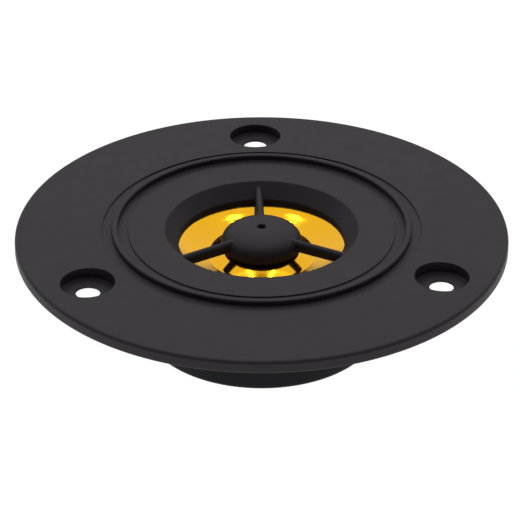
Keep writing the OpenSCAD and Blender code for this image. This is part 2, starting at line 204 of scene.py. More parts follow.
def rod(name: str, radius: float, bottom: float, top: float, place: Point2 = (0.0, 0.0),
        sides: int = 64) -> bpy.types.Object:
    """Makes an upright cylinder.

    Args:
        name: Name of the new object.
        radius: Radius in millimetres.
        bottom: Height of its lower end in millimetres.
        top: Height of its upper end in millimetres.
        place: X and Y of its axis in millimetres.
        sides: Number of sides.

    Returns:
        The cylinder, with its place in its mesh.
    """
    deselect_all()
    centre = (place[0] * MM, place[1] * MM, (bottom + top) / 2 * MM)
    bpy.ops.mesh.primitive_cylinder_add(vertices=sides, radius=radius * MM,
                                        depth=(top - bottom) * MM, location=centre)
    piece = bpy.context.object
    piece.name = name
    settle(piece)
    return piece


def turned_copy(piece: bpy.types.Object, degrees: float) -> bpy.types.Object:
    """Copies a piece with its own mesh, turned about the Z axis."""
    copy = piece.copy()
    copy.data = piece.data.copy()
    copy.data.transform(Matrix.Rotation(math.radians(degrees), 4, "Z"))
    bpy.context.scene.collection.objects.link(copy)
    return copy


def shifted(piece: bpy.types.Object, x: float, y: float = 0.0, z: float = 0.0) -> bpy.types.Object:
    """Shifts a piece's mesh by millimetres and returns the piece."""
    piece.data.transform(Matrix.Translation((x * MM, y * MM, z * MM)))
    return piece


def around(piece: bpy.types.Object, count: int, first: float = 90.0) -> list[bpy.types.Object]:
    """Repeats a piece that was made on +X round the Z axis.

    Args:
        piece: The piece to repeat, which becomes the first copy.
        count: How many there are in a full turn.
        first: Angle of the first one in degrees.

    Returns:
        All the copies.
    """
    copies = [turned_copy(piece, first + 360.0 * i / count) for i in range(1, count)]
    piece.data.transform(Matrix.Rotation(math.radians(first), 4, "Z"))
    return [piece, *copies]


def join(pieces: Sequence[bpy.types.Object]) -> bpy.types.Object:
    """Joins pieces into the first one."""
    choose(*pieces)
    if len(pieces) > 1:
        bpy.ops.object.join()
    return pieces[0]


def combine(target: bpy.types.Object, tools: Sequence[bpy.types.Object], how: str) -> None:
    """Adds or cuts solid tools, one after another, and removes them.

    Args:
        target: The solid that is changed.
        tools: Solids that are used up.
        how: UNION or DIFFERENCE.
    """
    for tool in tools:
        apply_modifier(target, "BOOLEAN", operation=how, solver="EXACT", object=tool)
        bpy.data.objects.remove(tool)


def finish_surface(piece: bpy.types.Object, angle: float = 32.0) -> None:
    """Shades a piece smooth up to an angle in degrees, with flat faces kept flat."""
    choose(piece)
    bpy.ops.object.shade_smooth_by_angle(angle=math.radians(angle))
    apply_modifier(piece, "WEIGHTED_NORMAL", weight=60, keep_sharp=True)


# ----------------------------------------------------------------------------------------
# Finishes
# ----------------------------------------------------------------------------------------


class Graph:
    """A material's nodes, with short methods for the ones the finishes use."""

    def __init__(self, name: str) -> None:
        """Starts a node material with one shader."""
        self.material = bpy.data.materials.new(name)
        self.material.use_nodes = True
        self.tree = self.material.node_tree
        self.shader = self.tree.nodes["Principled BSDF"]
        self.place = self.tree.nodes.new("ShaderNodeTexCoord").outputs["Object"]

    def link(self, source: bpy.types.NodeSocket, target: bpy.types.NodeSocket) -> None:
        """Joins an output to an input."""
        self.tree.links.new(source, target)

    def set(self, **values: object) -> None:
        """Sets the shader's own sockets, with underscores for the spaces in their names."""
        for key, value in values.items():
            self.shader.inputs[key.replace("_", " ")].default_value = value

    def noise(self, per_mm: float, detail: float, roughness: float = 0.5) -> bpy.types.NodeSocket:
        """Makes noise with the given number of features per millimetre."""
        node = self.tree.nodes.new("ShaderNodeTexNoise")
        node.inputs["Scale"].default_value = per_mm / MM
        node.inputs["Detail"].default_value = detail
        node.inputs["Roughness"].default_value = roughness
        self.link(self.place, node.inputs["Vector"])
        return node.outputs["Fac"]

    def spread(self, source: bpy.types.NodeSocket, low: float, high: float,
               to_low: float, to_high: float) -> bpy.types.NodeSocket:
        """Maps a value smoothly from one range to another."""
        node = self.tree.nodes.new("ShaderNodeMapRange")
        node.interpolation_type = "SMOOTHSTEP"
        for key, value in zip(("From Min", "From Max", "To Min", "To Max"), (low, high, to_low, to_high)):
            node.inputs[key].default_value = value
        self.link(source, node.inputs["Value"])
        return node.outputs["Result"]

    def blend(self, amount: bpy.types.NodeSocket, a: Colour, b: Colour) -> bpy.types.NodeSocket:
        """Mixes two colours by an amount."""
        node = self.tree.nodes.new("ShaderNodeMix")
        node.data_type = "RGBA"
        self.link(amount, node.inputs[0])
        node.inputs[6].default_value = (*a, 1.0)
        node.inputs[7].default_value = (*b, 1.0)
        return node.outputs[2]

    def bump(self, height: bpy.types.NodeSocket, depth: float) -> None:
        """Roughens the shader's surface by a height map, with a depth in millimetres."""
        node = self.tree.nodes.new("ShaderNodeBump")
        node.inputs["Strength"].default_value = 1.0
        node.inputs["Distance"].default_value = depth * MM
        self.link(height, node.inputs["Height"])
        self.link(node.outputs["Normal"], self.shader.inputs["Normal"])


@dataclass(frozen=True)
class MouldedPlastic:
    """Matte injection-moulded plastic with a fine spark-eroded grain."""

    name: str
    colour: Colour
    worn: Colour
    roughness: float = 0.5
    specular: float = 0.5
    grain_per_mm: float = 5.0
    grain_depth: float = 0.012

    def material(self) -> bpy.types.Material:
        """Builds the node material."""
        graph = Graph(self.name)
        cloud = graph.noise(0.08, detail=4.0)
        graph.link(graph.blend(graph.spread(cloud, 0.35, 0.75, 0.0, 1.0), self.colour, self.worn),
                   graph.shader.inputs["Base Color"])
        rub = graph.spread(graph.noise(0.35, detail=5.0, roughness=0.6), 0.3, 0.7,
                           self.roughness - 0.02, self.roughness + 0.02)
        graph.link(rub, graph.shader.inputs["Roughness"])
        graph.set(Specular_IOR_Level=self.specular)
        graph.bump(graph.noise(self.grain_per_mm, detail=2.0, roughness=0.6), self.grain_depth)
        return graph.material


@dataclass(frozen=True)
class GoldFilm:
    """Mirror-bright gold film with faint ripples left by forming."""

    name: str = "gold_film"
    colour: Colour = (0.83, 0.435, 0.014)
    roughness: float = 0.08
    ripple_depth: float = 0.004

    def material(self) -> bpy.types.Material:
        """Builds the node material."""
        graph = Graph(self.name)
        graph.set(Base_Color=(*self.colour, 1.0), Metallic=1.0)
        haze = graph.spread(graph.noise(0.5, detail=4.0), 0.3, 0.75,
                            self.roughness, self.roughness + 0.05)
        graph.link(haze, graph.shader.inputs["Roughness"])
        graph.bump(graph.noise(0.25, detail=2.0), self.ripple_depth)
        return graph.material


@dataclass(frozen=True)
class Metal:
    """Plated or bare metal with fine scratches."""

    name: str
    colour: Colour
    stained: Colour
    roughness: float = 0.3
    scratch_per_mm: float = 3.0
    scratch_depth: float = 0.003
    metallic: float = 1.0

    def material(self) -> bpy.types.Material:
        """Builds the node material."""
        graph = Graph(self.name)
        graph.set(Metallic=self.metallic)
        stain = graph.spread(graph.noise(0.3, detail=5.0, roughness=0.65), 0.35, 0.75, 0.0, 1.0)
        graph.link(graph.blend(stain, self.colour, self.stained), graph.shader.inputs["Base Color"])
        rub = graph.spread(graph.noise(0.9, detail=4.0), 0.3, 0.7,
                           self.roughness - 0.06, self.roughness + 0.1)
        graph.link(rub, graph.shader.inputs["Roughness"])
        graph.bump(graph.noise(self.scratch_per_mm, detail=3.0), self.scratch_depth)
        return graph.material


@dataclass(frozen=True)
class Porous:
    """Foam, felt, paper or sintered ferrite: dull, with grain of its own scale."""

    name: str
    colour: Colour
    speck: Colour
    grain_per_mm: float
    grain_depth: float
    roughness: float = 0.9
    sheen: float = 0.0

    def material(self) -> bpy.types.Material:
        """Builds the node material."""
        graph = Graph(self.name)
        grain = graph.noise(self.grain_per_mm, detail=4.0, roughness=0.7)
        graph.link(graph.blend(graph.spread(grain, 0.3, 0.7, 0.0, 1.0), self.colour, self.speck),
                   graph.shader.inputs["Base Color"])
        graph.set(Roughness=self.roughness, Sheen_Weight=self.sheen)
        graph.bump(grain, self.grain_depth)
        return graph.material


@dataclass(frozen=True)
class Finishes:
    """All the finishes of the tweeter, by the record's material slots."""

    plastic: MouldedPlastic = MouldedPlastic("moulded_black", (0.0275, 0.0236, 0.0303),
                                             (0.0283, 0.0243, 0.0311), 0.5, 0.2)
    cover: MouldedPlastic = MouldedPlastic("cover_black", (0.0078, 0.0066, 0.0088),
                                           (0.0088, 0.0076, 0.0098), 0.5, 0.12)
    block: MouldedPlastic = MouldedPlastic("block_plastic", (0.02, 0.02, 0.021), (0.028, 0.028, 0.029), 0.5)
    ring: MouldedPlastic = MouldedPlastic("ring_plastic", (0.012, 0.012, 0.012), (0.018, 0.018, 0.018), 0.6)
    film: GoldFilm = GoldFilm()
    copper: Metal = Metal("copper", (0.72, 0.3, 0.14), (0.6, 0.2, 0.08), 0.25)
    solder: Metal = Metal("solder", (0.62, 0.62, 0.64), (0.45, 0.45, 0.46), 0.3)
    pin: Metal = Metal("plated_steel", (0.6, 0.6, 0.62), (0.5, 0.5, 0.5), 0.3)
    blade: Metal = Metal("terminal_plate", (0.75, 0.73, 0.66), (0.6, 0.56, 0.46), 0.24)
    steel: Metal = Metal("zinc_steel", (0.56, 0.57, 0.58), (0.46, 0.45, 0.42), 0.33)
    screw: Metal = Metal("screw_steel", (0.09, 0.09, 0.095), (0.05, 0.05, 0.052), 0.36)
    ferrite: Porous = Porous("ferrite", (0.035, 0.035, 0.038), (0.06, 0.06, 0.064), 4.0, 0.02, 0.7)
    former: Porous = Porous("former_paper", (0.5, 0.36, 0.2), (0.4, 0.27, 0.13), 5.0, 0.01, 0.6)
    felt: Porous = Porous("felt", (0.17, 0.16, 0.15), (0.25, 0.24, 0.22), 6.0, 0.06, 1.0, 0.4)
    foam: Porous = Porous("foam", (0.014, 0.014, 0.014), (0.03, 0.03, 0.03), 5.0, 0.05, 0.95)


class Workshop:
    """Dresses finished pieces and fastens them to the frame's bodies."""

    def __init__(self) -> None:
        """Starts with no materials made."""
        self.finishes = Finishes()
        self.made: dict[str, bpy.types.Material] = {}

    def material(self, finish: str) -> bpy.types.Material:
        """Gives a finish's material and builds it the first time."""
        if finish not in self.made:
            self.made[finish] = getattr(self.finishes, finish).material()
        return self.made[finish]

    def place(self, piece: bpy.types.Object, node: str, finish: str, body: str = "housing") -> None:
        """Gives a piece its finish, lets it stand for a CAD node and ride on a body.

        Args:
            piece: The finished piece.
            node: The CAD node that it stands for.
            finish: Name of a field of Finishes.
            body: The body that it rides on.
        """
        piece.name = f"{node}_visual"
        piece.data.name = piece.name
        piece.data.materials.clear()
        piece.data.materials.append(self.material(finish))
        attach(piece, body)
        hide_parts(node)
        getattr(self.finishes, finish).name
        LOG.info("%s: %d faces on %s", piece.name, len(piece.data.polygons), body)


# ----------------------------------------------------------------------------------------
# Sub-assemblies
# ----------------------------------------------------------------------------------------


def low(node: str) -> float:
    """Gives the height of a CAD node's underside in millimetres."""
    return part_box(node)[0][2] / MM


def high(node: str) -> float:
    """Gives the height of a CAD node's top in millimetres."""
    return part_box(node)[1][2] / MM


def half(node: str) -> float:
    """Gives a round CAD node's outer radius in millimetres."""
    return (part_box(node)[1][0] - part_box(node)[0][0]) / 2 / MM


@dataclass
class Faceplate:
    """The moulded front: flange, bead, mouth, phase plug on its spokes, and collar."""

    shop: Workshop
    pattern_radius: float
    hole_radius: float
    film_depth: float = 3.95
    thickness: float = 2.9
    fall: float = 0.5
    rim_round: float = 0.7
    back_chamfer: float = 0.3
    groove_outer: float = 30.0
    groove_inner: float = 25.1
    groove_depth: float = 0.25
    bead_inner: float = 26.95
    bead_outer: float = 28.15
    bead_rise: float = 0.85
    bead_round: float = 0.35
    edge_round: float = 0.07
    counterbore: float = 5.0
    counterbore_depth: float = 2.3
    mouth: float = 18.0
    throat: float = 15.65
    cone_depth: float = 2.6
    lip_round: float = 0.35
    plug: float = 7.65
    plug_rise: float = 0.3
    plug_waist_depth: float = 3.6
    plug_power: float = 2.8
    plug_foot: float = 0.25
    plug_top: float = 2.2
    vent: float = 0.8
    spoke_width: float = 1.5
    spoke_ridge_depth: float = 0.7
    spoke_under_depth: float = 2.85
    blend_grain: float = 0.14
    collar: float = 27.5
    collar_wall: float = 1.6
    collar_bore: float = 21.65
    screw_circle: float = 24.6
    boss: float = 2.6
    pilot: float = 1.3
    pilot_roof: float = 0.4
    rib: float = 0.5
    rib_rise: float = 1.6
    rib_angles: tuple[float, ...] = (0, 30, 60, 120, 150, 180, 240, 300)
    foot_gap: float = 0.1
    window_width: float = 14.0
    cut: float = 0.5
    face: float = field(init=False)
    back: float = field(init=False)

    def __post_init__(self) -> None:
        """Takes the face's height from the film's."""
        self.face = high("surround") + self.film_depth
        self.back = self.face - self.thickness

    def face_at(self, radius: float) -> float:
        """Gives the height of the flange's face, which falls from the groove to the rim."""
        run = half("faceplate") - self.rim_round - self.groove_outer
        return self.face - self.fall * (radius - self.groove_outer) / run

    def outline(self) -> list[Point2]:
        """Gives the section of the flange, mouth and collar."""
        face, tiny = self.face, self.edge_round
        floor = face - self.groove_depth
        bead = face + self.bead_rise - self.bead_round
        rim = half("faceplate")
        foot = low("rear_cover") + high("rear_cover") + 0.2
        seat = high("throat_gasket")
        inner = self.collar_bore + self.collar_wall
        lip = (self.mouth + self.lip_round, face - self.lip_round)
        return [
            (self.throat, seat + 0.1), (self.throat, face - self.cone_depth - 0.15),
            (self.throat + 0.05, face - self.cone_depth),
            *arc(lip, self.lip_round, 135, 90, 4), (self.mouth + 1.0, face), (self.groove_inner - 0.5, face),
            *arc((self.groove_inner - tiny, face - tiny), tiny, 90, 0, 3),
            (self.groove_inner, floor), (self.bead_inner - 0.3, floor),
            *arc((self.bead_inner - 0.12, floor + 0.12), 0.12, -90, 0, 3),
            *arc((self.bead_inner + self.bead_round, bead), self.bead_round, 180, 90, 5),
            *arc((self.bead_outer - self.bead_round, bead), self.bead_round, 90, 0, 5),
            *arc((self.bead_outer + 0.12, floor + 0.12), 0.12, 180, 270, 3),
            (self.bead_outer + 0.4, floor), (self.groove_outer, floor),
            *arc((self.groove_outer + tiny, face - tiny), tiny, 180, 90, 3),
            (self.groove_outer + 0.6, self.face_at(self.groove_outer + 0.6)),
            (rim - self.rim_round - 0.4, self.face_at(rim - self.rim_round - 0.4)),
            *arc((rim - self.rim_round, face - self.fall - self.rim_round), self.rim_round, 90, 0, 8),
            (rim, self.back + self.back_chamfer + 0.15),
            *arc((rim - self.back_chamfer, self.back + self.back_chamfer), self.back_chamfer, 0, -90, 4),
            (self.collar + 0.6, self.back), *arc((self.collar + 0.3, self.back - 0.3), 0.3, 90, 180, 3),
            (self.collar, foot + 0.2), (self.collar - 0.2, foot),
            (self.collar - self.collar_wall, foot), (self.collar - self.collar_wall, self.back),
            (inner, self.back), (inner, foot), (self.collar_bore + 0.15, foot),
            (self.collar_bore, foot + 0.15), (self.collar_bore, seat), (self.throat + 0.1, seat),
        ]

    def plug_on_spokes(self) -> bpy.types.Object:
        """Models the phase plug with its spokes and blends them into each other.

        Returns:
            The plug and spokes as one solid whose spoke ends reach into the flange.
        """
        waist = self.face - self.plug_waist_depth
        rise = self.plug_waist_depth + self.plug_rise
        steps = 24
        turns = [math.pi / 2 * i / steps for i in range(steps)]
        side = [(self.plug * math.cos(t) ** (2 / self.plug_power),
                 waist + rise * math.sin(t) ** (2 / self.plug_power)) for t in turns]
        foot = waist - self.plug_foot
        plug = lathe("plug", [(0.0, foot), (self.plug - 0.35, foot), (self.plug - 0.1, foot + 0.08),
                              *side, (0.0, waist + rise)], Smoothness.MEDIUM, closed=False)
        combine(plug, around(self.spoke(), 3), "UNION")
        apply_modifier(plug, "REMESH", mode="VOXEL", voxel_size=self.blend_grain * MM, use_smooth_shade=True)
        apply_modifier(plug, "SMOOTH", factor=0.5, iterations=5)
        combine(plug, [self.hollow(foot), self.vent_tool()], "DIFFERENCE")
        return plug

    def spoke(self) -> bpy.types.Object:
        """Models one spoke along +X: a bar with a full round ridge."""
        radius = self.spoke_width / 2
        under = self.face - self.spoke_under_depth
        ridge = self.face - self.spoke_ridge_depth
        bar = block("spoke", (self.plug - 3.5, -radius, under), (self.mouth + 1.2, radius, ridge))
        choose(bar)
        bpy.ops.object.mode_set(mode="EDIT")
        bpy.ops.mesh.select_all(action="DESELECT")
        bpy.ops.object.mode_set(mode="OBJECT")
        for edge in bar.data.edges:
            ends = [bar.data.vertices[i].co for i in edge.vertices]
            lies_along = abs(ends[0].x - ends[1].x) > MM
            edge.select = lies_along and min(end.z for end in ends) > (ridge - 0.01) * MM
        bpy.ops.object.mode_set(mode="EDIT")
        bpy.ops.mesh.select_mode(type="EDGE")
        bpy.ops.mesh.bevel(offset=radius * 0.98 * MM, segments=6, profile=0.5)
        bpy.ops.object.mode_set(mode="OBJECT")
        return bar

    def hollow(self, foot: float) -> bpy.types.Object:
        """Models the tool that hollows the plug over the dome."""
        radius = self.plug - 2 * self.plug_foot
        rise = self.plug_waist_depth + self.plug_rise + self.plug_foot - self.plug_top
        dome = [(radius * math.cos(a), foot + rise * math.sin(a))
                for a in (math.pi / 2 * i / 12 for i in range(12))]
        return lathe("hollow", [(0.0, foot - 1.0), (radius, foot - 1.0), *dome, (0.0, foot + rise)],
                     Smoothness.MEDIUM, closed=False)

    def vent_tool(self) -> bpy.types.Object:
        """Models the tool that drills the vent and breaks its edge."""
        top = self.face + self.plug_rise
        return lathe("vent", [(0.0, top - 3.0), (self.vent, top - 3.0), (self.vent, top - 0.16),
                              (self.vent + 0.05, top - 0.06), (self.vent + 0.2, top + 0.04),
                              (self.vent + 0.2, top + 1.0), (0.0, top + 1.0)],
                     Smoothness.COARSE, closed=False)

    def screw_hole_tools(self) -> list[bpy.types.Object]:
        """Models the tools for the counterbored mounting holes, with a lip that follows the face."""
        floor = self.face - self.counterbore_depth
        wide, narrow = self.counterbore, self.hole_radius
        tool = lathe("counterbore", [
            (0.0, self.back - 1.0), (narrow + 0.15, self.back - 1.0), (narrow + 0.15, self.back),
            (narrow, self.back + 0.15), (narrow, floor - 0.08), (narrow + 0.08, floor),
            (wide - 0.3, floor), *arc((wide - 0.3, floor + 0.3), 0.3, -90, 0, 4)[1:],
            (wide, self.face + 1.0), (0.0, self.face + 1.0)], Smoothness.MEDIUM, closed=False)
        lip = lathe("lip", [(0.0, -0.5), (wide - 0.2, -0.5), (wide - 0.01, -0.14), (wide + 0.03, -0.05),
                            (wide + 0.1, 0.0), (wide + 0.25, 0.03), (wide + 0.25, 0.8), (0.0, 0.8)],
                    Smoothness.MEDIUM, closed=False)
        slope = (self.face - self.face_at(self.groove_outer + 1.0))
        lip.data.transform(Matrix.Rotation(math.atan(slope), 4, "Y"))
        shifted(lip, 0.0, 0.0, self.face_at(self.pattern_radius))
        return [join(around(shifted(part, self.pattern_radius), 3)) for part in (tool, lip)]

    def build(self) -> None:
        """Builds the faceplate as one moulding."""
        plate = lathe("plate", self.outline())
        foot = high("rear_cover") + self.foot_gap
        bosses = around(rod("boss", self.boss, foot, self.back + self.cut, (self.screw_circle, 0.0)), 3)
        rib = block("rib", (self.collar_bore + self.collar_wall / 2, -self.rib, foot + self.rib_rise),
                    (self.collar - self.collar_wall / 2, self.rib, self.back + self.cut))
        ribs = [turned_copy(rib, angle) for angle in self.rib_angles]
        bpy.data.objects.remove(rib)
        combine(plate, [join(bosses), join(ribs), self.plug_on_spokes()], "UNION")
        pilot = rod("pilot", self.pilot, foot - 1.0, self.back - self.pilot_roof, (self.screw_circle, 0.0), 32)
        window_top = high("terminal_block") + self.foot_gap
        window = block("window", (-self.window_width / 2, -self.collar - 1.0, foot - 1.0),
                       (self.window_width / 2, -self.collar_bore + 4.0, window_top))
        combine(plate, [*self.screw_hole_tools(), join(around(pilot, 3)), window], "DIFFERENCE")
        finish_surface(plate)
        self.shop.place(plate, "faceplate", "plastic")


@dataclass
class Film:
    """The formed gold film: surround and dome, which meet at the glue land."""

    shop: Workshop
    throat: float = 15.65
    border: float = 20.0
    land: float = 10.2
    land_width: float = 0.4
    thickness: float = 0.2
    drop: float = 1.55
    sag: float = 0.15
    crook: float = 0.03
    ripple: float = 0.008
    ripple_count: float = 4.5
    steps: int = 64

    def surround_height(self, radius: float) -> float:
        """Gives the height of the surround's upper side at a radius."""
        share = (self.throat - radius) / (self.throat - self.land)
        bent = self.drop * share + self.sag * math.sin(math.pi * share)
        bent += self.crook * math.sin(2 * math.pi * share)
        inner = max(0.0, (share - 0.5) * 2)
        return high("surround") - bent - self.ripple * math.sin(2 * math.pi * self.ripple_count * inner)

    def surround(self) -> bpy.types.Object:
        """Models the surround from its glued border to the land."""
        radii = [self.throat + (self.land - self.throat) * i / self.steps for i in range(self.steps + 1)]
        upper = [(r, self.surround_height(r)) for r in radii]
        lower = [(r, z - self.thickness) for r, z in reversed(upper)]
        top = high("surround")
        outline = [(self.border, top), *upper, *lower, (self.border, top - self.thickness)]
        return lathe("surround", outline, Smoothness.MIRROR)

    def dome(self) -> bpy.types.Object:
        """Models the dome with its flat glue land."""
        base = self.land - self.land_width
        land_z = low("dome") + self.thickness
        rise = high("dome") - land_z
        sphere = (base * base + rise * rise) / (2 * rise)
        centre = land_z + rise - sphere
        reach = math.asin(base / sphere)
        angles = [reach * (1 - i / self.steps) for i in range(self.steps)]
        outer = [(sphere * math.sin(a), centre + sphere * math.cos(a)) for a in angles]
        inside = sphere - self.thickness
        inner = [(inside * math.sin(a), centre + inside * math.cos(a)) for a in reversed(angles)]
        outline = [(0.0, high("dome") - self.thickness), *inner, (base, land_z - self.thickness),
                   (self.land, land_z - self.thickness), (self.land, land_z), *outer, (0.0, high("dome"))]
        return lathe("dome", outline, Smoothness.MIRROR, closed=False)

    def build(self) -> None:
        """Builds both: the dome rides on the diaphragm and the surround stays where it is built, on no body.
        """
        dome = self.dome()
        finish_surface(dome, 60.0)
        self.shop.place(dome, "dome", "film", "diaphragm")
        surround = self.surround()
        finish_surface(surround, 60.0)
        self.shop.place(surround, "surround", "film")
        surround.parent = None
        self.surround_height(self.land) * MM
        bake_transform(surround)


@dataclass
class RearCover:
    """The moulded cup over the motor, with its screw flange."""

    shop: Workshop
    wall: float = 1.5
    cup: float = 22.4
    floor: float = 1.5
    flange: float = 1.8
    rear_round: float = 0.8
    root_round: float = 0.8
    recess: float = 0.3
    screw_circle: float = 24.6
    hole: float = 1.45
    pocket: float = 2.45

    def build(self) -> None:
        """Builds the cover."""
        top, rim = high("rear_cover"), half("rear_cover")
        under = top - self.flange
        inner = self.cup - self.wall
        recess = self.cup - 5.0
        outline = [
            (0.0, self.recess), (recess, self.recess), (recess + 0.1, self.recess - 0.05),
            (recess + 0.3, 0.05), (recess + 0.45, 0.0),
            *arc((self.cup - self.rear_round, self.rear_round), self.rear_round, -90, 0, 8),
            (self.cup, under - self.root_round - 0.4),
            *arc((self.cup + self.root_round, under - self.root_round), self.root_round, 180, 90, 6),
            (rim - 0.9, under), *arc((rim - 0.5, under + 0.5), 0.5, -90, 0, 5),
            (rim, top - 0.15), (rim - 0.15, top), (inner + 0.15, top), (inner, top - 0.15),
            (inner, self.floor + 0.3), (inner - 0.3, self.floor), (0.0, self.floor),
        ]
        cover = lathe("cover", outline, closed=False)
        tool = rod("clearance", self.hole, under - 1.0, top + 1.0, (self.screw_circle, 0.0), 48)
        pocket = rod("pocket", self.pocket, under - 2.0, under, (self.screw_circle, 0.0), 48)
        combine(cover, [join(around(tool, 3)), join(around(pocket, 3))], "DIFFERENCE")
        finish_surface(cover)
        self.shop.place(cover, "rear_cover", "cover")


@dataclass
class AssemblyScrews:
    """Pan-head screws with cross recesses, driven from behind."""

    shop: Workshop
    circle: float = 24.6
    head: float = 2.3
    head_height: float = 1.5
    core: float = 1.05
    thread: float = 1.3
    pitch: float = 0.9
    recess_length: float = 2.5
    recess_width: float = 0.6
    recess_depth: float = 0.9

    def build(self) -> None:
        """Builds one screw and copies it."""
        under, tip = low("assembly_screws"), high("assembly_screws")
        seat = under + self.head_height
        turns = int((tip - seat - 1.2) / self.pitch)
        thread: list[Point2] = []
        for i in range(turns):
            z = seat + 0.4 + i * self.pitch
            thread += [(self.core, z), (self.thread, z + 0.3 * self.pitch),
                       (self.thread, z + 0.4 * self.pitch), (self.core, z + 0.7 * self.pitch)]
        outline = [
            (0.0, under), (self.head * 0.5, under + 0.02),
            *arc((self.head - 0.8, under + 0.8), 0.8, -80, 0, 6),
            (self.head, seat - 0.1), (self.head - 0.1, seat), (self.core, seat), *thread,
            (self.core, tip - 0.6), (self.core * 0.5, tip), (0.0, tip),
        ]
        screw = lathe("screw", outline, Smoothness.COARSE, closed=False)
        wide, thin = self.recess_length / 2, self.recess_width / 2
        for spans in ((wide, thin), (thin, wide)):
            slot = block("slot", (-spans[0], -spans[1], under - 0.5), (*spans, under + self.recess_depth))
            combine(screw, [slot], "DIFFERENCE")
        screws = join(around(shifted(screw, self.circle), 3))
        finish_surface(screws, 40.0)
        self.shop.place(screws, "assembly_screws", "screw")


@dataclass
class Terminals:
    """The two push-on blades and the block that holds them."""

    shop: Workshop
    spacing: float = 3.8
    tip_taper: float = 1.2
    tip_width: float = 0.72
    tip_thickness: float = 0.45
    dimple: float = 0.65
    dimple_inset: float = 3.0
    collar: float = 27.5
    collar_bore: float = 21.72
    wall_pitch: float = 4.25
    lip: float = 1.2
    lip_reach: float = 1.5
    edge: float = 0.15

    def blade(self, node: str, side: int) -> None:
        """Builds one blade.

        Args:
            node: The CAD node that the blade stands for.
            side: 1 on +X, -1 on -X.
        """
        corner_low, corner_high = ([v / MM for v in corner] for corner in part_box(node))
        blade = block(node, corner_low, corner_high)
        choose(blade)
        for polygon in blade.data.polygons:
            polygon.select = polygon.normal.y < -0.9
        for item in (*blade.data.edges, *blade.data.vertices):
            item.select = False
        for polygon in blade.data.polygons:
            if polygon.select:
                for index in polygon.vertices:
                    blade.data.vertices[index].select = True
        bpy.ops.object.mode_set(mode="EDIT")
        bpy.ops.mesh.select_mode(type="FACE")
        bpy.ops.transform.translate(value=(0.0, self.tip_taper * MM, 0.0))
        bpy.ops.mesh.extrude_region_move(TRANSFORM_OT_translate={"value": (0.0, -self.tip_taper * MM, 0.0)})
        bpy.ops.transform.resize(value=(self.tip_width, 1.0, self.tip_thickness))
        bpy.ops.object.mode_set(mode="OBJECT")
        hole = rod("hole", self.dimple, corner_low[2] - 1.0, corner_high[2] + 1.0,
                   (side * self.spacing, corner_low[1] + self.dimple_inset), 32)
        combine(blade, [hole], "DIFFERENCE")
        apply_modifier(blade, "BEVEL", width=0.06 * MM, segments=2, limit_method="ANGLE")
        finish_surface(blade, 40.0)
        self.shop.place(blade, node, "blade")

    def holder(self) -> None:
        """Builds the terminal block with its two retaining lips."""
        corner_low, corner_high = ([v / MM for v in corner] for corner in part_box("terminal_block"))
        half_lip = corner_high[0]
        half_core = half_lip - self.lip_reach
        inner = self.collar - self.wall_pitch - self.lip_reach
        core = block("core", (-half_core, -self.collar - self.lip, corner_low[2]),
                     (half_core, -inner, corner_high[2]))
        for radius in (self.collar, self.collar - self.wall_pitch):
            sweep = 2 * math.degrees(math.asin(half_lip / (radius + self.lip)))
            lip = lathe("lip", [(radius, corner_low[2]), (radius + self.lip, corner_low[2]),
                                (radius + self.lip, corner_high[2]), (radius, corner_high[2])],
                        Smoothness.MEDIUM, sweep=sweep)
            lip.data.transform(Matrix.Rotation(math.radians(-90 - sweep / 2), 4, "Z"))
            choose(lip)
            bpy.ops.object.mode_set(mode="EDIT")
            bpy.ops.mesh.select_all(action="DESELECT")
            bpy.ops.mesh.select_mode(type="EDGE")
            bpy.ops.mesh.select_non_manifold()
            bpy.ops.mesh.edge_face_add()
            bpy.ops.mesh.select_all(action="SELECT")
            bpy.ops.mesh.normals_make_consistent(inside=False)
            bpy.ops.object.mode_set(mode="OBJECT")
            combine(core, [lip], "UNION")
        bore = rod("bore", self.collar_bore, corner_low[2] - 1.0, corner_high[2] + 1.0, sides=160)
        combine(core, [bore], "DIFFERENCE")
        apply_modifier(core, "BEVEL", width=self.edge * MM, segments=3, limit_method="ANGLE",
                       angle_limit=math.radians(40))
        for node in ("terminal_positive", "terminal_negative"):
            slot_low, slot_high = ([v / MM for v in corner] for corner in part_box(node))
            combine(core, [block("slot", slot_low, slot_high)], "DIFFERENCE")
        finish_surface(core)
        self.shop.place(core, "terminal_block", "block")

    def build(self) -> None:
        """Builds the blades and their block."""
        self.blade("terminal_positive", 1)
        self.blade("terminal_negative", -1)
        self.holder()


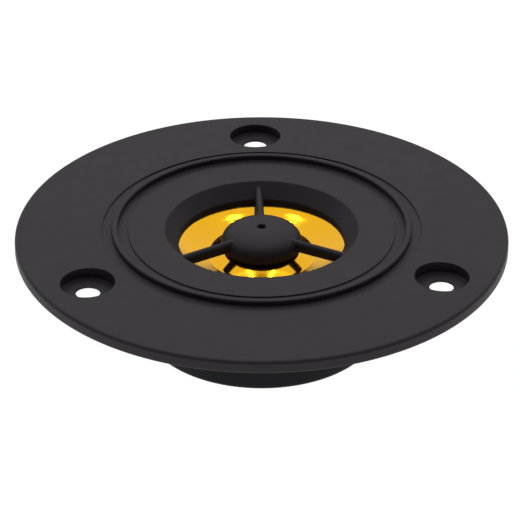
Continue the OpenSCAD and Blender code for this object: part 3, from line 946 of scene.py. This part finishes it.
@dataclass
class Motor:
    """The magnet, its steel plates, the pads and the ring that carries the film."""

    shop: Workshop
    magnet_bore: float = 12.0
    throat: float = 15.65
    pole: float = 9.48
    yoke_edge: float = 0.4
    yoke_shoulder: float = 0.2
    pole_edge: float = 0.3

    def tube(self, node: str, finish: str, bore: float, edge: float) -> None:
        """Builds a ring or disc with broken edges.

        Args:
            node: The CAD node that it stands for.
            finish: Name of a field of Finishes.
            bore: Radius of the hole, or 0 for a disc.
            edge: Size of the edges' chamfer.
        """
        bottom, top, outer = low(node), high(node), half(node)
        rounded = [*arc((outer - edge, bottom + edge), edge, -90, 0, 3),
                   *arc((outer - edge, top - edge), edge, 0, 90, 3)]
        if bore > 0:
            inner = [*arc((bore + edge, top - edge), edge, 90, 180, 3),
                     *arc((bore + edge, bottom + edge), edge, 180, 270, 3)]
            piece = lathe(node, [*rounded, *inner])
        else:
            piece = lathe(node, [(0.0, bottom), *rounded, (0.0, top)], closed=False)
        finish_surface(piece)
        self.shop.place(piece, node, finish)

    def build(self) -> None:
        """Builds the motor's turned pieces."""
        self.tube("magnet", "ferrite", bore=self.magnet_bore, edge=0.4)
        self.tube("throat_gasket", "foam", bore=self.throat, edge=0.05)
        self.tube("pole_damping_pad", "felt", bore=0.0, edge=0.2)
        self.tube("cover_foam_pad", "foam", bore=0.0, edge=0.1)
        self.yoke()

    def yoke(self) -> None:
        """Builds the back plate and pole in one piece."""
        bottom, top, plate, shoulder = low("yoke"), high("yoke"), half("yoke"), low("magnet")
        edge, ledge, tip = self.yoke_edge, self.yoke_shoulder, self.pole_edge
        piece = lathe("yoke", [
            (0.0, bottom), *arc((plate - edge, bottom + edge), edge, -90, 0, 4),
            *arc((plate - ledge, shoulder - ledge), ledge, 0, 90, 3),
            *arc((self.pole + edge, shoulder + edge), edge, 270, 180, 4),
            *arc((self.pole - tip, top - tip), tip, 0, 90, 4), (0.0, top)], closed=False)
        finish_surface(piece)
        self.shop.place(piece, "yoke", "steel")


# ----------------------------------------------------------------------------------------
# Stage
# ----------------------------------------------------------------------------------------


@dataclass
class Stage:
    """Floor, lights and camera."""

    face: float
    azimuth: float = -1.95
    elevation: float = 29.742
    distance: float = 536.3
    lens: float = 197.72
    aim_down: float = 6.09
    aim_side: float = -0.3
    floor_gap: float = 0.05
    floor_pale: float = 0.05
    floor_glow: float = 1.0
    sky_lean: float = 4.0
    sky_low: float = 1.2
    sky_high: float = 2.2
    sky_dim: float = 0.13
    sky_bright: float = 1.0
    horizon_low: float = 0.04
    horizon_high: float = 0.45
    horizon_dim: float = 0.25
    box_side: float = 0.5
    box_back: float = -0.02
    box_height: float = 0.8
    box_width: float = 0.86
    box_length: float = 0.5
    box_glow: float = 0.7
    strip_side: float = 0.11
    strip_back: float = 0.08
    strip_width: float = 0.032
    strip_length: float = 0.35
    strip_glow: float = 9.0
    strip_slant: float = 14.0
    strip_drop: float = 0.01
    spot_side: float = 0.14
    spot_back: float = 0.5
    spot_width: float = 0.06
    spot_length: float = 0.14
    spot_glow: float = 6.0

    def floor(self) -> None:
        """Lays a plain pale floor."""
        deselect_all()
        bpy.ops.mesh.primitive_plane_add(size=6.0, location=(0.0, 0.0, -self.floor_gap * MM))
        floor = bpy.context.object
        floor.name = "floor"
        graph = Graph("pale_floor")
        graph.set(Base_Color=(*[self.floor_pale] * 3, 1.0), Roughness=0.8, Specular_IOR_Level=0.1,
                  Emission_Color=(1.0, 1.0, 1.0, 1.0), Emission_Strength=self.floor_glow)
        floor.data.materials.append(graph.material)

    def softbox(self, name: str, place: Sequence[float], size: Sequence[float], glow: float,
                turn: float = 0.0) -> None:
        """Hangs one rectangular light that faces down.

        Args:
            name: Name of the light.
            place: Its place in metres.
            size: Its width and length in metres.
            glow: Brightness of its face.
            turn: Its turn about the vertical in degrees.
        """
        light = bpy.data.lights.new(name, "AREA")
        light.shape = "RECTANGLE"
        light.size, light.size_y = size
        light.energy = glow * math.pi * size[0] * size[1]
        holder = bpy.data.objects.new(name, light)
        holder.location = place
        holder.rotation_euler.z = math.radians(turn)
        bpy.context.scene.collection.objects.link(holder)

    def sky(self) -> None:
        """Sets a pale surround, brightest high at the back, dim towards the front and low down."""
        world = bpy.data.worlds.new("studio")
        world.use_nodes = True
        tree = world.node_tree
        way = tree.nodes.new("ShaderNodeSeparateXYZ")
        tree.links.new(tree.nodes.new("ShaderNodeTexCoord").outputs["Generated"], way.inputs["Vector"])
        lean = tree.nodes.new("ShaderNodeMath")
        lean.operation = "MULTIPLY_ADD"
        tree.links.new(way.outputs["Y"], lean.inputs[0])
        lean.inputs[1].default_value = self.sky_lean
        tree.links.new(way.outputs["Z"], lean.inputs[2])
        strength = tree.nodes.new("ShaderNodeMath")
        strength.operation = "MULTIPLY"
        ramps = (
            (lean.outputs["Value"], (self.sky_low, self.sky_high, self.sky_dim, self.sky_bright)),
            (way.outputs["Z"], (self.horizon_low, self.horizon_high, self.horizon_dim, 1.0)),
        )
        for factor, (source, values) in zip(strength.inputs, ramps):
            ramp = tree.nodes.new("ShaderNodeMapRange")
            ramp.interpolation_type = "SMOOTHSTEP"
            for key, value in zip(("From Min", "From Max", "To Min", "To Max"), values):
                ramp.inputs[key].default_value = value
            tree.links.new(source, ramp.inputs["Value"])
            tree.links.new(ramp.outputs["Result"], factor)
        tree.links.new(strength.outputs["Value"], tree.nodes["Background"].inputs["Strength"])
        tree.nodes["Background"].inputs["Color"].default_value = (1.0, 0.99, 0.985, 1.0)
        bpy.context.scene.world = world

    def lights(self) -> None:
        """Hangs a softbox, a bright strip and a small far light on each side."""
        strip_height = self.box_height - self.strip_drop
        for side in (-1.0, 1.0):
            self.softbox(f"softbox_{side:+.0f}", (side * self.box_side, self.box_back, self.box_height),
                         (self.box_width, self.box_length), self.box_glow)
            self.softbox(f"strip_{side:+.0f}", (side * self.strip_side, self.strip_back, strip_height),
                         (self.strip_width, self.strip_length), self.strip_glow, -side * self.strip_slant)
            self.softbox(f"spot_{side:+.0f}", (side * self.spot_side, self.spot_back, self.box_height),
                         (self.spot_width, self.spot_length), self.spot_glow)
        bpy.context.scene.view_settings.view_transform = "Standard"

    def camera(self) -> None:
        """Places the camera at the object's usual three-quarter view."""
        turn, tilt = math.radians(self.azimuth), math.radians(self.elevation)
        back = Vector((math.sin(turn) * math.cos(tilt), -math.cos(turn) * math.cos(tilt), math.sin(tilt)))
        right = Vector((math.cos(turn), math.sin(turn), 0.0))
        upward = right.cross(-back)
        centre = Vector((0.0, 0.0, self.face * MM))
        aim = centre - upward * self.aim_down * MM + right * self.aim_side * MM
        data = bpy.data.cameras.new("camera")
        data.lens = self.lens
        data.sensor_width = 36.0
        data.clip_start, data.clip_end = 0.01, 20.0
        camera = bpy.data.objects.new("camera", data)
        camera.location = centre + back * self.distance * MM
        camera.rotation_euler = (aim - camera.location).to_track_quat("-Z", "Y").to_euler()
        bpy.context.scene.collection.objects.link(camera)
        bpy.context.scene.camera = camera

    def build(self) -> None:
        """Sets the whole stage."""
        self.camera()
        self.floor()
        self.sky()
        self.lights()


def dress_cad_nodes(nodes: dict[str, bpy.types.Object], shop: Workshop) -> None:
    """Gives the CAD nodes that stay their materials.

    Args:
        nodes: The frame's objects by node name.
        shop: Where the materials come from.
    """
    kept = {
        "coil_former": "former", "coil_winding": "copper", "lead_wire_positive": "copper",
        "lead_wire_negative": "copper", "solder_joints": "solder", "diaphragm_ring": "ring",
        "locating_pins": "pin", "top_plate": "steel",
    }
    for node, finish in kept.items():
        mesh = nodes[node].data
        mesh.materials.clear()
        mesh.materials.append(shop.material(finish))
        LOG.info("%s: CAD shape kept", node)


def main() -> None:
    """Builds the tweeter and its stage."""
    logging.basicConfig(level=logging.INFO, format="%(name)s: %(message)s")
    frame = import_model()
    shop = Workshop()
    pattern = next(m for m in frame["record"]["mounts"] if m["kind"] == "bolt_pattern")["dims"]
    faceplate = Faceplate(shop, pattern["pcd_mm"] / 2, pattern["hole_r_mm"])
    Stage(faceplate.face).build()
    faceplate.build()
    Film(shop).build()
    RearCover(shop).build()
    AssemblyScrews(shop).build()
    Terminals(shop).build()
    Motor(shop).build()
    dress_cad_nodes(frame["nodes"], shop)
    deselect_all()


if __name__ == "__main__":
    main()
